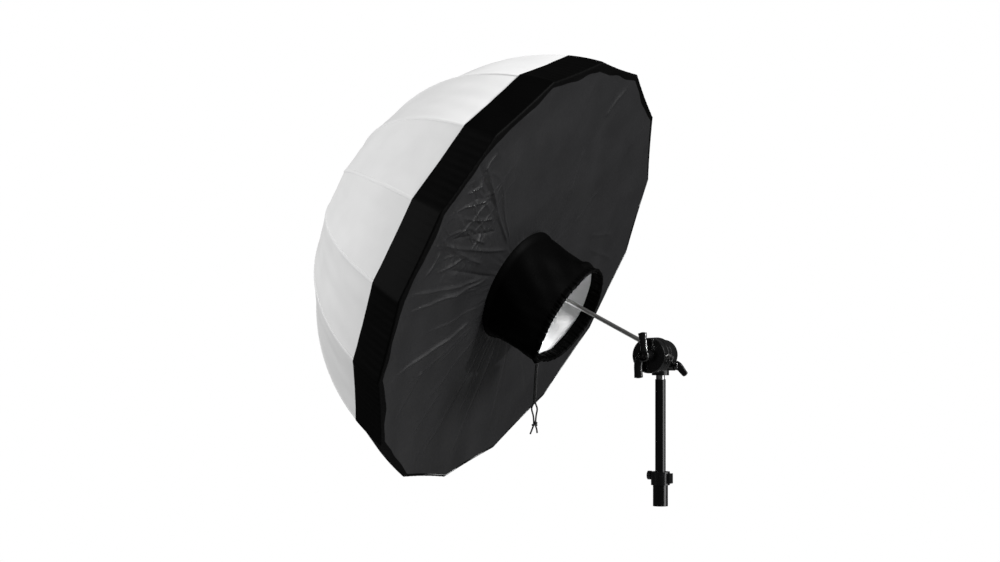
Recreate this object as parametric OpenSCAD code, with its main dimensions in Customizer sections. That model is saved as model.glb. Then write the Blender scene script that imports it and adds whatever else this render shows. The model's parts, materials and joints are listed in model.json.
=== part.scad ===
// Deep photographic umbrella reflector with a slip-on black back panel,
// clamped by its shaft in a grip head on the top section of a light stand.
// Origin: centre of the lower end of the stand tube. +Z up, the umbrella opens towards +X.

/* [Umbrella] */
// Radius of the open umbrella at its rib tips
rim_r = 425; // [400:5:440]
// Depth from the crown to the rim plane
dish_depth = 375; // [350:5:385]
// Angle between the rib and the shaft at the rim
rim_angle = 10; // [5:1:14]
// Thickness of the canopy cloth
cloth_t = 0.8; // [0.6:0.1:1.2]
// How far the cloth sinks in between two ribs at the rim
scallop = 10; // [8:1:12]
// Diameter of the rib rods
rib_d = 3.6; // [3:0.2:4]
// Turn of the first rib away from straight down
rib_phase = 6.9; // [0:0.1:22.4]
// Place of the stretcher joint along the rib, as the rib's angle there
stretch_angle = 60; // [57:1:63]

/* [Shaft] */
// Diameter of the umbrella shaft
shaft_d = 8; // [7:0.5:9]
// Length of the shaft from the crown
shaft_len = 711; // [706:1:740]
// Distance from the crown to the clamp axis
clamp_at = 673; // [665:1:680]
// Downward tilt of the shaft from level
tilt = 26.3; // [10:0.1:40]

/* [Back panel] */
// Thickness of the panel cloth
panel_t = 1.2; // [0.8:0.1:1.6]
// Depth of the skirt that wraps the rim
skirt_depth = 68.5; // [50:0.5:90]
// Radius of the collar where it is sewn to the panel
collar_base_r = 104.5; // [95:0.5:110]
// Radius of the collar at its front hem
collar_front_r = 100; // [90:0.5:105]
// Length of the collar
collar_len = 119; // [90:1:125]
// How far the collar hangs below the shaft at the panel
base_droop = 19; // [10:1:25]
// How far the collar hangs below the shaft at its front hem
front_droop = 30; // [20:1:35]
// Diameter of the drawcord
cord_d = 3; // [2:0.5:3]

/* [Grip head] */
// Diameter of the clamping discs
disc_d = 63.5; // [60:0.5:66]
// Height of the clamp axis above the lower end of the stand tube
head_z = 272; // [270:1:290]
// Distance from the stand's axis to the shaft's plane
shaft_side = 36; // [35:0.5:38]
// Height of the shaft above the clamp axis
shaft_above = 13; // [12:0.5:15]
// Diameter of the clamp bolt
bolt_d = 10; // [8:0.5:10]
// Length of the T-handle's bar
bar_len = 84; // [70:1:95]

/* [Stand] */
// Diameter of the lower stand tube
tube_d = 27; // [25:0.5:28]
// Length of the lower stand tube below the collar
tube_len = 38; // [30:1:40]
// Diameter of the riser tube
riser_d = 19; // [18.5:0.5:20]
// Height of the riser's upper end
riser_top = 228; // [220:1:228]
// Height of the stand collar
stand_collar_h = 24; // [22:1:28]
// Diameter of the stand spigot
spigot_d = 16; // [15.8:0.1:16]

/* [Hidden] */
RIBS = 16;

// Clearances and smoothness
run_fit = 0.05;
// end plug of the shaft: its head, and the spigot inside the shaft
plug_h = 4;
plug_r = 2.5;
plug_depth = 10;
// the lower tube is turned down to this where its collar is pressed on
seat_d = tube_d - 0.5;
// Where the stand collar's boss ends and the knob begins
knob_x = 17.5;
cloth_gap = 0.4;
fine = 96;
gore = 360 / RIBS;

// Rib profile: one arc in the (radius, depth) plane that ends at the rim
pivot_r = 12;
chord_angle = atan2(rim_r - pivot_r, dish_depth);
crown_angle = 2 * chord_angle - rim_angle;
arc_r = norm([rim_r - pivot_r, dish_depth]) / (2 * sin((crown_angle - rim_angle) / 2));
arc_centre = [pivot_r - arc_r * cos(crown_angle), arc_r * sin(crown_angle)];
// Point of the profile at an angle to the shaft, a distance inside the cloth's outer face
function arc_point(angle, inside = 0) = arc_centre + (arc_r - inside) * [cos(angle), -sin(angle)];
// Angle of the profile at a radius or at a depth
function angle_at_r(r) = acos((r - arc_centre.x) / arc_r);
function angle_at_depth(z) = asin((arc_centre.y - z) / arc_r);

// Rib and stretcher: two equal links from the crown pivot to the runner pivot
rib_inside = cloth_t + cloth_gap + 0.3 + rib_d / 2;
rib_arc_r = arc_r - rib_inside;
crown_pivot_angle = acos((pivot_r - arc_centre.x) / rib_arc_r);
crown_pivot = arc_point(crown_pivot_angle, rib_inside);
pin_drop = 5;
stretch_pin = arc_point(stretch_angle, rib_inside + pin_drop);
runner_pivot = [pivot_r, 2 * stretch_pin.y - crown_pivot.y];
link_len = norm(stretch_pin - runner_pivot);
tongue_len = 7.5;
rod_start = crown_pivot_angle - 2 * asin(tongue_len / 2 / rib_arc_r);
eye_r = 2;
bar_r = 2.5;
link_t = 1.6;
wire_r = 0.5;
wire_hole_r = 0.62;
pin_r = 1;
ear_t = 0.9;
ear_r = 3.2;
ear_y = link_t / 2 + 0.2 + ear_t / 2;
tip_r = 2.2;

// Crown notch and runner, which are slotted discs around the shaft
slot_w = 2.2;
slot_from = 9.2;
notch_r = 17;
runner_r = 9;
runner_len = 36;
button_r = 4;
button_at = runner_pivot.y + 20;
cap_r = 24;

// Back panel
face_z = dish_depth + 0.6;
face_top = face_z + panel_t;
hem_angle = angle_at_depth(dish_depth - skirt_depth);
front_angle = angle_at_depth(face_top);
collar_front_z = face_top + collar_len;
hem_r = 2.5;

// Where the umbrella's crown lies in the stand's frame
along = [cos(tilt), 0, -sin(tilt)];
above = [sin(tilt), 0, cos(tilt)];
crown = [0, -shaft_side, head_z] + shaft_above * above - clamp_at * along;

// Grip head, from the handle at the front to the receiver at the back
jaw_split = 1.5;
jaw_front_t = 16.5;
jaw_back_t = 10.5;
receiver_t = 9.5;
jaw_front_y = -shaft_side - jaw_split - jaw_front_t;
jaw_back_y = -shaft_side + jaw_split;
receiver_y = jaw_back_y + jaw_back_t + 0.5;
hub_r = 27;
// rims of the discs and the hub
disc_bevel = 1.2;
// socket lock: its height, and how far its boss stands out, clear of the hub
lock_z = head_z - 19;
lock_x = hub_r + 0.5;
hub_back_y = 17;
washer_t = 2;
washer_y = jaw_front_y - washer_t - 0.2;
boss_len = 22;
boss_y = washer_y - 0.3 - boss_len;
socket_r = 15.5;
socket_bottom = head_z - 36.5;
spigot_top = head_z - 9;

// Drawcord: two strands from the collar's hem to a knot and two short tails
strand_a = [[-202, -96, 256], [-203.5, -96, 240], [-205, -96, 220], [-206, -96, 200], [-207, -96, 186],
            [-211, -96, 175], [-208, -96, 163], [-207, -96, 154], [-207, -96, 146], [-210, -97, 137],
            [-213, -98, 129]];
strand_b = [[-198, -98, 256], [-199.5, -98, 240], [-201, -98, 220], [-202, -98, 200], [-202.5, -98, 186],
            [-199, -98, 175], [-201, -98, 163], [-202.5, -97, 154], [-203, -97, 146], [-201, -96, 138],
            [-200, -96, 131]];
knot_at = [-205, -96.5, 147];
knot_r = 6;

function catmull(p, i, t) =
  let (
    a = p[max(i - 1, 0)],
    b = p[i],
    c = p[i + 1],
    d = p[min(i + 2, len(p) - 1)]
  ) (2 * b + (c - a) * t + (2 * a - 5 * b + 4 * c - d) * t * t + (3 * b - a - 3 * c + d) * t * t * t) / 2;
function unit(v) = v / norm(v);
function tube_ring(at, along, r, sides) =
  let (
    u = unit(cross(along, [0, 1, 0])),
    w = cross(unit(along), u)
  ) [for (j = [0 : sides - 1]) at + r * (cos(j * 360 / sides) * u + sin(j * 360 / sides) * w)];

// A tube with round section along a smooth curve through points
module sweep_tube(points, r, sides = 8, steps = 2) {
  line = [
    for (i = [0 : len(points) - 2]) for (s = [0 : steps - 1]) catmull(points, i, s / steps),
    points[len(points) - 1]
  ];
  last = len(line) - 1;
  rings = [
    for (k = [0 : last])
      tube_ring(line[k], line[min(k + 1, last)] - line[max(k - 1, 0)], r, sides)
  ];
  polyhedron(
    points = [for (ring = rings) each ring],
    faces = [
      [for (j = [0 : sides - 1]) j],
      [for (j = [0 : sides - 1]) last * sides + sides - 1 - j],
      for (k = [0 : last - 1]) for (j = [0 : sides - 1])
        [k * sides + j, (k + 1) * sides + j, (k + 1) * sides + (j + 1) % sides, k * sides + (j + 1) % sides]
    ]
  );
}

// How far the cloth sinks at an angle round the umbrella, as a share of its radius there
cuts = 4;
function sink(j) = scallop / rim_r * (1 - pow(2 * (j % cuts) / cuts - 1, 2));

// A gored cloth shell between two profile angles, lying between two offsets of the arc
module gored_shell(angle_a, angle_b, outside, inside, steps) {
  round = RIBS * cuts;
  function at(k, j, offset) =
    let (
      p = arc_point(angle_a + (angle_b - angle_a) * k / steps, offset),
      r = p.x * (1 - sink(j)),
      turn = rib_phase + j * 360 / round
    ) [r * cos(turn), r * sin(turn), p.y];
  outer = [for (k = [0 : steps]) for (j = [0 : round - 1]) at(k, j, outside)];
  inner = [for (k = [0 : steps]) for (j = [0 : round - 1]) at(k, j, inside)];
  n = (steps + 1) * round;
  polyhedron(
    points = concat(outer, inner),
    faces = [
      for (k = [0 : steps - 1]) for (j = [0 : round - 1])
        let (a = k * round + j, b = k * round + (j + 1) % round)
        each [[a, b, b + round], [a, b + round, a + round],
              [n + a, n + b + round, n + b], [n + a, n + a + round, n + b + round]],
      for (j = [0 : round - 1])
        let (a = j, b = (j + 1) % round, c = steps * round + j, d = steps * round + (j + 1) % round)
        each [[a, n + a, n + b], [a, n + b, b], [c, d, n + d], [c, n + d, n + c]]
    ]
  );
}

module umbrella_frame() {
  translate(crown) rotate([0, 90 + tilt, 0]) children();
}

module rib_frame(i) {
  umbrella_frame() rotate([0, 0, rib_phase + (i - 1) * gore]) children();
}

// A flat plate in the rib's own plane, drawn in (radius, depth), at a distance to its side
module rib_plate(t, side = 0) {
  rotate([90, 0, 0]) translate([0, 0, side - t / 2]) linear_extrude(t) children();
}

module along_y(from, to, r) {
  translate([0, from, 0]) rotate([-90, 0, 0]) cylinder(h = to - from, r = r, $fn = fine);
}

module along_x(from, to, r) {
  translate([from, 0, 0]) rotate([0, 90, 0]) cylinder(h = to - from, r = r, $fn = fine);
}
// A disc along Y whose two rims are bevelled
module disc_y(from, to, r, bevel) {
  h = to - from;
  outline = [[0, 0], [r - bevel, 0], [r, bevel], [r, h - bevel], [r - bevel, h], [0, h]];
  translate([0, from, 0]) rotate([-90, 0, 0]) rotate_extrude($fn = fine) polygon(outline);
}

module ring(r, wire) {
  rotate_extrude($fn = fine) translate([r, 0]) circle(r = wire, $fn = 24);
}

module slots(depth) {
  for (k = [0 : RIBS - 1])
    rotate([0, 0, rib_phase + k * gore])
      translate([slot_from, -slot_w / 2, -depth / 2]) cube([notch_r, slot_w, depth]);
}

module rib(i) {
  start = arc_point(rod_start, rib_inside);
  tip = arc_point(rim_angle + 0.3, rib_inside);
  rib_frame(i) color("silver") {
    translate([arc_centre.x, 0, arc_centre.y]) rotate([90, 0, 0]) rotate([0, 0, -rod_start])
      rotate_extrude(angle = rod_start - rim_angle - 0.3, $fn = 360)
        translate([rib_arc_r, 0]) circle(d = rib_d, $fn = 24);
    translate([tip.x, 0, tip.y]) sphere(r = tip_r, $fn = 32);
    rib_plate(link_t) difference() {
      union() {
        translate(crown_pivot) circle(r = eye_r, $fn = 32);
        translate(crown_pivot) rotate(90 - crown_pivot_angle)
          translate([0, -1.5]) square([tongue_len + 1, 3]);
      }
      translate(crown_pivot) circle(r = wire_hole_r, $fn = 24);
    }
    for (side = [-ear_y, ear_y]) rib_plate(ear_t, side) {
      translate(stretch_pin) circle(r = ear_r, $fn = 32);
      translate(stretch_pin) rotate(-stretch_angle) translate([0, -ear_r]) square([pin_drop, 2 * ear_r]);
    }
    rib_plate(2 * ear_y + ear_t) translate(stretch_pin) circle(r = pin_r, $fn = 24);
  }
}

module stretcher(i) {
  way = stretch_pin - runner_pivot;
  rib_frame(i) color("gray") rib_plate(link_t) difference() {
    union() {
      translate(runner_pivot) circle(r = bar_r, $fn = 32);
      translate(stretch_pin) circle(r = bar_r, $fn = 32);
      translate(runner_pivot) rotate(atan2(way.y, way.x)) translate([0, -bar_r]) square([link_len, 2 * bar_r]);
    }
    translate(runner_pivot) circle(r = wire_hole_r, $fn = 24);
    translate(stretch_pin) circle(r = pin_r + run_fit, $fn = 24);
  }
}

module shaft() {
  color("silver") umbrella_frame() difference() {
    translate([0, 0, -2]) cylinder(h = shaft_len + 2 - plug_h, d = shaft_d, $fn = fine);
    translate([0, 0, shaft_len - plug_h - plug_depth])
      cylinder(h = plug_depth + 1, r = plug_r, $fn = fine);
  }
}

// Plastic plug in the end of the shaft, flush with it so that the shaft slides through the jaws
module shaft_cap() {
  r = shaft_d / 2;
  color("black") umbrella_frame() translate([0, 0, shaft_len - plug_h]) {
    translate([0, 0, -plug_depth]) cylinder(h = plug_depth, r = plug_r, $fn = fine);
    rotate_extrude($fn = fine) polygon([[0, 0], [r, 0], [r, plug_h - 1], [r - 1, plug_h], [0, plug_h]]);
  }
}

module crown_notch() {
  bottom = 0.2;
  top = crown_pivot.y + 2;
  color("black") umbrella_frame() difference() {
    translate([0, 0, bottom]) cylinder(h = top - bottom, r = notch_r, $fn = fine);
    translate([0, 0, crown_pivot.y]) slots(20);
    cylinder(h = 3 * top, d = shaft_d, center = true, $fn = fine);
  }
}

module crown_wire() {
  color("silver") umbrella_frame() translate([0, 0, crown_pivot.y]) ring(pivot_r, wire_r);
}

module crown_cap() {
  cap_h = 6;
  color("black") umbrella_frame() difference() {
    translate([0, 0, 0.1]) mirror([0, 0, 1]) rotate_extrude($fn = fine) {
      square([cap_r - 3, cap_h]);
      square([cap_r, cap_h - 3]);
      translate([cap_r - 3, cap_h - 3]) circle(r = 3, $fn = 32);
    }
    translate([0, 0, -2]) cylinder(h = 4, d = shaft_d, $fn = fine);
  }
}

module canopy() {
  color("white") umbrella_frame()
    gored_shell(angle_at_r(notch_r + 1.5), rim_angle, 0, cloth_t, 20);
}

module runner() {
  flange_t = 5;
  color("black") umbrella_frame() translate([0, 0, runner_pivot.y]) difference() {
    union() {
      translate([0, 0, -flange_t / 2]) cylinder(h = flange_t, r = notch_r, $fn = fine);
      translate([0, 0, flange_t / 2]) cylinder(h = runner_len, r = runner_r, $fn = fine);
    }
    slots(flange_t + 2);
    translate([0, 0, -20]) cylinder(h = runner_len + 40, d = shaft_d + 2 * run_fit, $fn = fine);
    translate([5.5, 0, button_at - runner_pivot.y]) rotate([0, 90, 0])
      cylinder(h = 20, r = button_r + run_fit, $fn = 48);
  }
}

module runner_wire() {
  color("silver") umbrella_frame() translate([0, 0, runner_pivot.y]) ring(pivot_r, wire_r);
}

module runner_button() {
  color("dimgray") umbrella_frame() translate([7.2, 0, button_at]) rotate([0, 90, 0])
    cylinder(h = 4.8, r = button_r, $fn = 48);
}

// Outline of the open rim, a little inside the skirt
function rim_outline(r) = [
  for (j = [0 : RIBS * cuts - 1])
    r * (1 - sink(j)) * [cos(rib_phase + j * gore / cuts), sin(rib_phase + j * gore / cuts)]
];

module panel_face() {
  color("dimgray") umbrella_frame() translate([0, 0, face_z]) linear_extrude(panel_t) difference() {
    polygon(rim_outline(rim_r - 0.3));
    translate([base_droop, 0]) circle(r = collar_base_r - panel_t, $fn = fine);
  }
}

module panel_skirt() {
  color("black") umbrella_frame()
    gored_shell(hem_angle, front_angle, -cloth_gap - panel_t, -cloth_gap, 4);
}

module collar() {
  module cone(less, extra) {
    hull() {
      translate([base_droop, 0, face_top - extra]) cylinder(h = 0.01, r = collar_base_r - less, $fn = 48);
      translate([front_droop, 0, collar_front_z + extra]) cylinder(h = 0.01, r = collar_front_r - less, $fn = 48);
    }
  }
  color("black") umbrella_frame() difference() {
    cone(0, 0);
    cone(panel_t, 0.02);
  }
}

module collar_hem() {
  color("black") umbrella_frame() translate([front_droop, 0, collar_front_z + hem_r + 0.05])
    ring(collar_front_r - panel_t / 2, hem_r);
}

module drawcord_a() {
  color("black") sweep_tube(strand_a, cord_d / 2);
}

module drawcord_b() {
  color("black") sweep_tube(strand_b, cord_d / 2);
}

module cord_knot() {
  color("black") translate(knot_at) sphere(r = knot_r, $fn = 32);
}

module head_frame() {
  translate([0, 0, head_z]) children();
}

module shaft_groove() {
  umbrella_frame() translate([0, 0, clamp_at - disc_d]) cylinder(h = 2 * disc_d, d = shaft_d + 0.08, $fn = fine);
}

module jaw_front() {
  color("black") difference() {
    head_frame() difference() {
      disc_y(jaw_front_y, jaw_front_y + jaw_front_t, disc_d / 2, disc_bevel);
      along_y(jaw_front_y - 1, jaw_front_y + jaw_front_t + 1, bolt_d / 2 + run_fit);
    }
    shaft_groove();
  }
}

module jaw_back() {
  color("black") difference() {
    head_frame() difference() {
      disc_y(jaw_back_y, jaw_back_y + jaw_back_t, disc_d / 2, disc_bevel);
      along_y(jaw_back_y - 1, jaw_back_y + jaw_back_t + 1, bolt_d / 2 + run_fit);
    }
    shaft_groove();
  }
}

module head_washer() {
  color("silver") head_frame() difference() {
    along_y(washer_y, washer_y + washer_t, 14);
    along_y(washer_y - 1, washer_y + washer_t + 1, bolt_d / 2 + run_fit);
  }
}

module t_handle() {
  arm_r = 7;
  arm = bar_len / 2 - arm_r;
  color("black") head_frame() difference() {
    union() {
      along_y(boss_y, boss_y + boss_len, 11);
      translate([0, boss_y + arm_r, 0]) {
        cylinder(h = 2 * arm, r = arm_r, center = true, $fn = fine);
        for (z = [-arm, arm]) translate([0, 0, z]) sphere(r = arm_r, $fn = 48);
      }
    }
    along_y(boss_y + 4, boss_y + boss_len + 1, bolt_d / 2 + run_fit);
  }
}

module head_bolt() {
  color("silver") head_frame() {
    along_y(boss_y + 5, hub_back_y + 4, bolt_d / 2);
    along_y(hub_back_y, hub_back_y + 5, 9);
  }
}

module head_receiver() {
  color("black") difference() {
    union() {
      head_frame() disc_y(receiver_y, receiver_y + receiver_t, disc_d / 2, disc_bevel);
      head_frame() disc_y(receiver_y + receiver_t, hub_back_y, hub_r, disc_bevel);
      translate([0, 0, socket_bottom]) cylinder(h = head_z - socket_bottom, r = socket_r, $fn = fine);
      translate([0, 0, lock_z]) along_x(0, lock_x, 9);
    }
    translate([0, 0, socket_bottom - 1])
      cylinder(h = spigot_top + 1 - socket_bottom, r = spigot_d / 2 + run_fit, $fn = fine);
    translate([0, 0, lock_z]) along_x(spigot_d / 2, lock_x + 1, 4 + run_fit);
    head_frame() along_y(receiver_y - 1, hub_back_y + 1, bolt_d / 2);
  }
}

module receiver_lock() {
  wing_t = 6;
  wing_x = lock_x + 5;
  color("black") translate([0, 0, lock_z]) {
    along_x(spigot_d / 2 + 0.2, lock_x + 2, 4);
    along_x(lock_x + 0.3, lock_x + 8, 8);
    rotate([90, 0, 0]) translate([0, 0, -wing_t / 2]) linear_extrude(wing_t) {
      translate([wing_x, -2]) rotate(-45) translate([0, -6]) square([18, 12]);
      translate([wing_x, -2]) rotate(-45) translate([18, 0]) circle(r = 6, $fn = 32);
    }
  }
}

module stand_tube() {
  color("black") difference() {
    union() {
      cylinder(h = tube_len - 1, d = tube_d, $fn = fine);
      cylinder(h = tube_len + 12, d = seat_d, $fn = fine);
    }
    translate([0, 0, -1]) cylinder(h = tube_len + 20, d = tube_d - 3, $fn = fine);
  }
}

module stand_collar() {
  color("black") difference() {
    union() {
      translate([0, 0, tube_len]) cylinder(h = stand_collar_h, r = 17, $fn = fine);
      translate([10, -8, tube_len + 3]) cube([11, 16, stand_collar_h - 6]);
      translate([0, 0, tube_len + 17]) mirror([1, 0, 0]) along_x(12, knob_x, 6);
    }
    translate([0, 0, tube_len - 1]) cylinder(h = 13, d = seat_d, $fn = fine);
    translate([0, 0, tube_len - 1])
      cylinder(h = stand_collar_h + 2, r = riser_d / 2 + run_fit, $fn = fine);
    translate([0, 0, tube_len + 17]) mirror([1, 0, 0]) along_x(5, 25, 3 + run_fit);
  }
}

module collar_knob() {
  color("black") translate([0, 0, tube_len + 17]) mirror([1, 0, 0]) {
    along_x(riser_d / 2 + 0.2, knob_x + 2, 3);
    along_x(knob_x + 0.3, knob_x + 6.3, 8);
  }
}

module stand_riser() {
  color("black") difference() {
    translate([0, 0, 6]) cylinder(h = riser_top - 6, d = riser_d, $fn = fine);
    translate([0, 0, 5]) cylinder(h = riser_top, d = spigot_d - 0.8, $fn = fine);
  }
}

module stand_spigot() {
  color("silver") {
    translate([0, 0, riser_top - 22]) cylinder(h = 22, d = spigot_d - 0.8, $fn = fine);
    translate([0, 0, riser_top]) cylinder(h = spigot_top - riser_top, d = spigot_d, $fn = fine);
  }
}

stand_tube();
stand_collar();
collar_knob();
stand_riser();
stand_spigot();
head_receiver();
head_bolt();
receiver_lock();
jaw_back();
jaw_front();
head_washer();
t_handle();
shaft();
shaft_cap();
crown_notch();
crown_wire();
crown_cap();
canopy();
rib(1);  // rib_01
rib(2);  // rib_02
rib(3);  // rib_03
rib(4);  // rib_04
rib(5);  // rib_05
rib(6);  // rib_06
rib(7);  // rib_07
rib(8);  // rib_08
rib(9);  // rib_09
rib(10);  // rib_10
rib(11);  // rib_11
rib(12);  // rib_12
rib(13);  // rib_13
rib(14);  // rib_14
rib(15);  // rib_15
rib(16);  // rib_16
stretcher(1);  // stretcher_01
stretcher(2);  // stretcher_02
stretcher(3);  // stretcher_03
stretcher(4);  // stretcher_04
stretcher(5);  // stretcher_05
stretcher(6);  // stretcher_06
stretcher(7);  // stretcher_07
stretcher(8);  // stretcher_08
stretcher(9);  // stretcher_09
stretcher(10);  // stretcher_10
stretcher(11);  // stretcher_11
stretcher(12);  // stretcher_12
stretcher(13);  // stretcher_13
stretcher(14);  // stretcher_14
stretcher(15);  // stretcher_15
stretcher(16);  // stretcher_16
runner();
runner_wire();
runner_button();
panel_face();
panel_skirt();
collar();
collar_hem();
drawcord_a();
drawcord_b();
cord_knot();
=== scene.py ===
# %% [markdown]
# # A deep umbrella reflector with a black back panel
# This lesson builds the looks of a studio umbrella around its finished design. The design
# (frame) already holds every hard part in its real place. Cloth, cords and cast handles are
# made here as surfaces worked out with numpy, and every finish is made from nodes.

# %% Load the frame
import json
import math

import bpy
import numpy as np
from mathutils import Matrix, Vector

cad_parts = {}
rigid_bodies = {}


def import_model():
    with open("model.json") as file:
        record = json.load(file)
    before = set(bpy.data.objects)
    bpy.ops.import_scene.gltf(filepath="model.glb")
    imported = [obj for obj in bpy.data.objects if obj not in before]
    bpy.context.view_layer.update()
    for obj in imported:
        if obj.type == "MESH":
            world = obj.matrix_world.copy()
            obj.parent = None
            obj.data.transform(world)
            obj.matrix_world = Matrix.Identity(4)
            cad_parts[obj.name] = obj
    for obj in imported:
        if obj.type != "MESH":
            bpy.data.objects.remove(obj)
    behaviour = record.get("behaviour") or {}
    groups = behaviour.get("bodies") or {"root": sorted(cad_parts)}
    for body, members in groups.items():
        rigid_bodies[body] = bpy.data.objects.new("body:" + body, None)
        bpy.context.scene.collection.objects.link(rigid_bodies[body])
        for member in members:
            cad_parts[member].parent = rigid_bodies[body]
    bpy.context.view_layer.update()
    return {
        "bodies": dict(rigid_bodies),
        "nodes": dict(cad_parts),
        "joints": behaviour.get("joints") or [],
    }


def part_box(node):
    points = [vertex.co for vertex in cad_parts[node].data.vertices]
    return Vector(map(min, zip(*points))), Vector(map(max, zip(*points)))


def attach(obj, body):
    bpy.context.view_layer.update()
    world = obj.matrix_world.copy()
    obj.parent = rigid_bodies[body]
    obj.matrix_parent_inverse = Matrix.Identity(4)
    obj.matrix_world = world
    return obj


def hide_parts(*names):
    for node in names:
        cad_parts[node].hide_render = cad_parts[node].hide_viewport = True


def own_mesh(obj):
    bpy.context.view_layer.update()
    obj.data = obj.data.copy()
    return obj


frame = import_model()
JOINTS = {j["name"]: j for j in frame["joints"]}
RIBS = sum(body.startswith("rib_") for body in frame["bodies"])
RIB_NAMES = [f"rib_{k:02d}" for k in range(1, RIBS + 1)]

# %% [markdown]
# ## Where the umbrella lies
# Everything soft is symmetric about the shaft, so it is easiest to draw it in the umbrella's own
# directions: how far down, how far to the side, and how deep from the crown. The shaft's direction
# comes from the joint that slips the back panel off, and the crown from the canopy's own solid.

# %% The umbrella's own directions
MM = 0.001
ALONG = np.array(JOINTS["panel_slip"]["axis"])
SIDE = np.array([0.0, 1.0, 0.0])
ABOVE = np.cross(ALONG, SIDE)
ABOVE = ABOVE / np.linalg.norm(ABOVE) * math.copysign(1, ABOVE[2])
DISH_DEPTH = 375 * MM
RIM_ANGLE = math.radians(10)
PIVOT_R = 12 * MM


def corners_of(node):
    """All the points of a frame part, as rows of x, y and z."""
    mesh = frame["nodes"][node].data
    points = np.empty(len(mesh.vertices) * 3)
    mesh.vertices.foreach_get("co", points)
    return points.reshape(-1, 3)


def shaft_centre():
    """A point on the shaft's axis: the middle of the shaft's solid."""
    points = corners_of("shaft")
    return (points.min(0) + points.max(0)) / 2


canopy_points = corners_of("canopy")
on_shaft = shaft_centre()
depths = (canopy_points - on_shaft) @ ALONG
CROWN = on_shaft + (depths.max() - DISH_DEPTH) * ALONG
away = canopy_points - on_shaft - np.outer(depths, ALONG)
RIM_R = float(np.linalg.norm(away, axis=1).max())


def dish(down, side, depth):
    """Points from the umbrella's own measures: crown + depth along - down above + side side."""
    down, side, depth = np.broadcast_arrays(down, side, depth)
    return CROWN + depth[..., None] * ALONG - down[..., None] * ABOVE + side[..., None] * SIDE


def turned(radius, turn, depth):
    """Points from a radius, a turn away from straight down, and a depth."""
    return dish(radius * np.cos(turn), radius * np.sin(turn), depth)


def rib_turn(name):
    """The turn of a rib away from straight down, from its fold joint's axis."""
    joint = JOINTS["fold" if name == RIB_NAMES[0] else f"fold_{name}"]
    axis = np.array(joint["axis"])
    return math.atan2(-axis @ ABOVE, -axis @ SIDE)


TURNS = [rib_turn(name) for name in RIB_NAMES]
GORE = 2 * math.pi / RIBS
print("crown at", np.round(CROWN, 4), "rim radius", round(RIM_R, 4), "m")
print("first rib turned", round(math.degrees(TURNS[0]), 2), "degrees from straight down")

# %% [markdown]
# ## The camera and the light
# A long lens from 4.7 m away keeps the rim a gentle ellipse. The camera stands level with the
# umbrella, and looks past the shaft's side at the panel's face.

# %% Camera
VIEW_TURN = math.radians(26.6)
LENS_MM = 92.4
DISTANCE = 4.704
RIM_CENTRE = CROWN + DISH_DEPTH * ALONG
view_right = np.array([math.cos(VIEW_TURN), math.sin(VIEW_TURN), 0])
view_back = np.array([math.sin(VIEW_TURN), -math.cos(VIEW_TURN), 0])
OFF_RIGHT = 39 * MM
OFF_UP = 10.7 * MM
eye = RIM_CENTRE - OFF_RIGHT * view_right - OFF_UP * np.array([0, 0, 1]) + DISTANCE * view_back

camera_data = bpy.data.cameras.new("camera")
camera_data.lens = LENS_MM
camera_data.sensor_width = 36
camera = bpy.data.objects.new("camera", camera_data)
bpy.context.scene.collection.objects.link(camera)
camera.matrix_world = Matrix.Translation(Vector(eye)) @ Matrix(
    (
        (view_right[0], 0, view_back[0], 0),
        (view_right[1], 0, view_back[1], 0),
        (0, 1, 0, 0),
        (0, 0, 0, 1),
    )
)
bpy.context.scene.camera = camera
print("camera at", np.round(eye, 3))

# %% [markdown]
# ## Helpers for finishes
# Colours are picked as the eye sees them, in sRGB, and turned to the linear values that shaders
# want. One small function adds a node with its settings and links, so that a finish reads as a
# short list of what happens to the light.


# %% Colour and nodes
def linear(hex_colour):
    """Linear red, green, blue and alpha from an sRGB hex colour."""
    parts = [int(hex_colour[i : i + 2], 16) / 255 for i in (1, 3, 5)]
    return [c / 12.92 if c <= 0.04045 else ((c + 0.055) / 1.055) ** 2.4 for c in parts] + [1.0]


def add(tree, kind, inputs=None, **settings):
    """Adds a node, sets its settings, and links or sets each of its inputs."""
    made = tree.nodes.new(kind)
    for name, value in settings.items():
        setattr(made, name, value)
    for name, value in (inputs or {}).items():
        if isinstance(value, bpy.types.NodeSocket):
            tree.links.new(value, made.inputs[name])
        else:
            made.inputs[name].default_value = value
    return made


def new_finish(name):
    """An empty node material and its tree, with only the output node."""
    material = bpy.data.materials.new(name)
    material.use_nodes = True
    material.node_tree.nodes.clear()
    output = add(material.node_tree, "ShaderNodeOutputMaterial")
    return material, material.node_tree, output


def ramp(tree, factor, stops):
    """A colour ramp with its stops as (place, hex colour)."""
    made = add(tree, "ShaderNodeValToRGB", {"Fac": factor})
    elements = made.color_ramp.elements
    while len(elements) < len(stops):
        elements.new(0.5)
    for element, (place, colour) in zip(elements, stops):
        element.position = place
        element.color = linear(colour)
    return made.outputs["Color"]
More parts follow.
